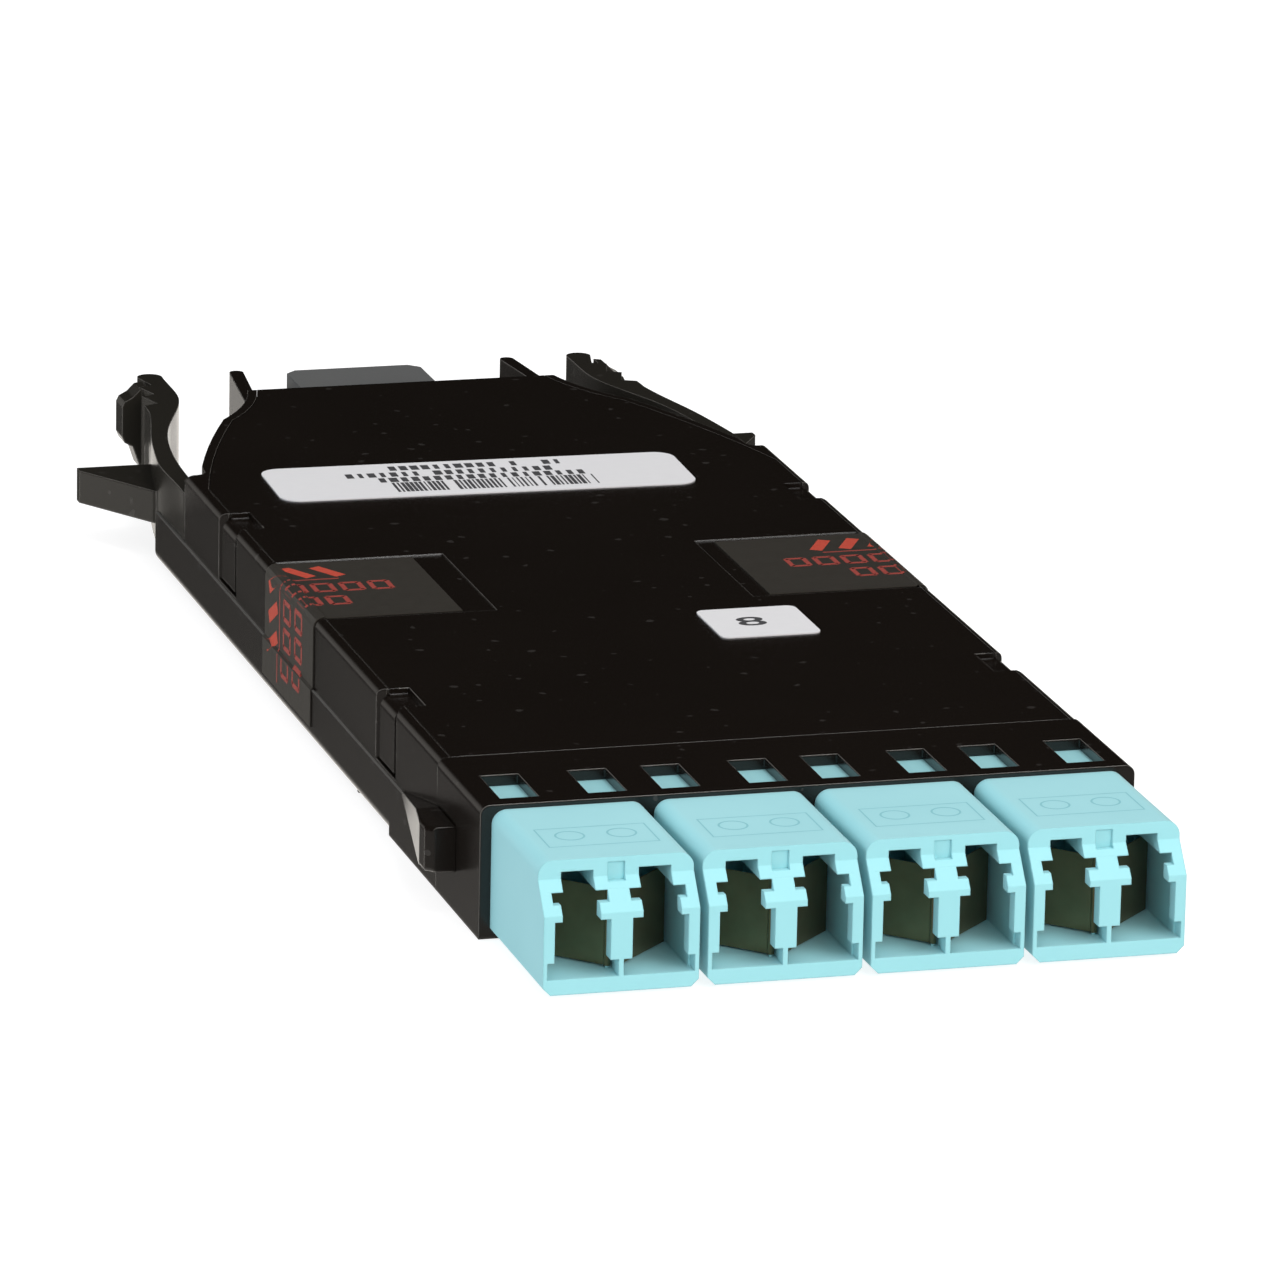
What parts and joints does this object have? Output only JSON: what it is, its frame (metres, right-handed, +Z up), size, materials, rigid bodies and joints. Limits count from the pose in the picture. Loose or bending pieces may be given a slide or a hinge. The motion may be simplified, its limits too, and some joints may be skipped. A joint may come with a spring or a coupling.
{
  "type": "fibre cassette",
  "caption": "Flat black fibre-optic cassette with shuttered aqua duplex ports in front, a ribbon port behind, and two side latch levers that squeeze in to release it.",
  "frame": {"origin": "centre of the bounding box in plan, on the flat underside", "axes": "+Y from the front ports to the rear latches, +Z up out of the label side, +X to the right seen from the front"},
  "size_m": [0.0636, 0.1608, 0.0111],
  "materials": {
    "case": "soft gloss moulded black plastic",
    "adapter_aqua": "moulded aqua plastic",
    "leaf_metal": "dark reflective spring sheet",
    "rear_adapter": "moulded grey plastic",
    "inner_housing": "moulded plastic",
    "ferrule": "filled plastic",
    "sleeve_ceramic": "polished white ceramic",
    "pin_steel": "polished",
    "boot": "soft boot",
    "fibre": "extruded jacket",
    "seal_film": "dark translucent film with plain red shapes",
    "label_white": "white label"
  },
  "bodies": {
    "case": {"base_tray": "case", "top_cover": "case", "front_bezel": "case", "mpo_adapter": "rear_adapter", "mpo_plug": "inner_housing", "mpo_ferrule": "ferrule", "mpo_guide_pins": "pin_steel", "mpo_boot": "boot", "fibre_ribbon": "fibre", "fanout_block": "inner_housing", "fibre_legs": "fibre", "seal_left": "seal_film", "seal_right": "seal_film", "id_label": "label_white", "polarity_label": "label_white", "adapter_1": "adapter_aqua", "inner_plug_1_left": "inner_housing", "inner_plug_1_right": "inner_housing", "sleeves_1": "sleeve_ceramic", "ferrules_1": "sleeve_ceramic", "boots_1": "boot", "adapter_2": "adapter_aqua", "inner_plug_2_left": "inner_housing", "inner_plug_2_right": "inner_housing", "sleeves_2": "sleeve_ceramic", "ferrules_2": "sleeve_ceramic", "boots_2": "boot", "adapter_3": "adapter_aqua", "inner_plug_3_left": "inner_housing", "inner_plug_3_right": "inner_housing", "sleeves_3": "sleeve_ceramic", "ferrules_3": "sleeve_ceramic", "boots_3": "boot", "adapter_4": "adapter_aqua", "inner_plug_4_left": "inner_housing", "inner_plug_4_right": "inner_housing", "sleeves_4": "sleeve_ceramic", "ferrules_4": "sleeve_ceramic", "boots_4": "boot"},
    "shutter_1_left": {"shutter_1_left": "leaf_metal"},
    "shutter_1_right": {"shutter_1_right": "leaf_metal"},
    "shutter_2_left": {"shutter_2_left": "leaf_metal"},
    "shutter_2_right": {"shutter_2_right": "leaf_metal"},
    "shutter_3_left": {"shutter_3_left": "leaf_metal"},
    "shutter_3_right": {"shutter_3_right": "leaf_metal"},
    "shutter_4_left": {"shutter_4_left": "leaf_metal"},
    "shutter_4_right": {"shutter_4_right": "leaf_metal"},
    "latch_lever_left": {"latch_lever_left": "case"},
    "latch_lever_right": {"latch_lever_right": "case"}
  },
  "joints": [
    {"name": "shutter_1_left_hinge", "type": "hinge", "parent": "case", "child": "shutter_1_left", "pos_m": [-0.02038, -0.07815, 0.00385], "axis": [0, 0, -1], "range_deg": [0, 45], "stiffness_Nm_per_rad": 0.00002},
    {"name": "shutter_1_right_hinge", "type": "hinge", "parent": "case", "child": "shutter_1_right", "pos_m": [-0.01934, -0.07815, 0.00385], "axis": [0, 0, 1], "range_deg": [0, 45], "stiffness_Nm_per_rad": 0.00002},
    {"name": "shutter_2_left_hinge", "type": "hinge", "parent": "case", "child": "shutter_2_left", "pos_m": [-0.00714, -0.07815, 0.00385], "axis": [0, 0, -1], "range_deg": [0, 45], "stiffness_Nm_per_rad": 0.00002},
    {"name": "shutter_2_right_hinge", "type": "hinge", "parent": "case", "child": "shutter_2_right", "pos_m": [-0.0061, -0.07815, 0.00385], "axis": [0, 0, 1], "range_deg": [0, 45], "stiffness_Nm_per_rad": 0.00002},
    {"name": "shutter_3_left_hinge", "type": "hinge", "parent": "case", "child": "shutter_3_left", "pos_m": [0.0061, -0.07815, 0.00385], "axis": [0, 0, -1], "range_deg": [0, 45], "stiffness_Nm_per_rad": 0.00002},
    {"name": "shutter_3_right_hinge", "type": "hinge", "parent": "case", "child": "shutter_3_right", "pos_m": [0.00714, -0.07815, 0.00385], "axis": [0, 0, 1], "range_deg": [0, 45], "stiffness_Nm_per_rad": 0.00002},
    {"name": "shutter_4_left_hinge", "type": "hinge", "parent": "case", "child": "shutter_4_left", "pos_m": [0.01934, -0.07815, 0.00385], "axis": [0, 0, -1], "range_deg": [0, 45], "stiffness_Nm_per_rad": 0.00002},
    {"name": "shutter_4_right_hinge", "type": "hinge", "parent": "case", "child": "shutter_4_right", "pos_m": [0.02038, -0.07815, 0.00385], "axis": [0, 0, 1], "range_deg": [0, 45], "stiffness_Nm_per_rad": 0.00002},
    {"name": "latch_lever_left_flex", "type": "hinge", "parent": "case", "child": "latch_lever_left", "pos_m": [-0.02595, 0.03865, 0.00535], "axis": [0, 0, -1], "range_deg": [0, 6], "stiffness_Nm_per_rad": 0.05},
    {"name": "latch_lever_right_flex", "type": "hinge", "parent": "case", "child": "latch_lever_right", "pos_m": [0.02595, 0.03865, 0.00535], "axis": [0, 0, 1], "range_deg": [0, 6], "stiffness_Nm_per_rad": 0.05}
  ]
}
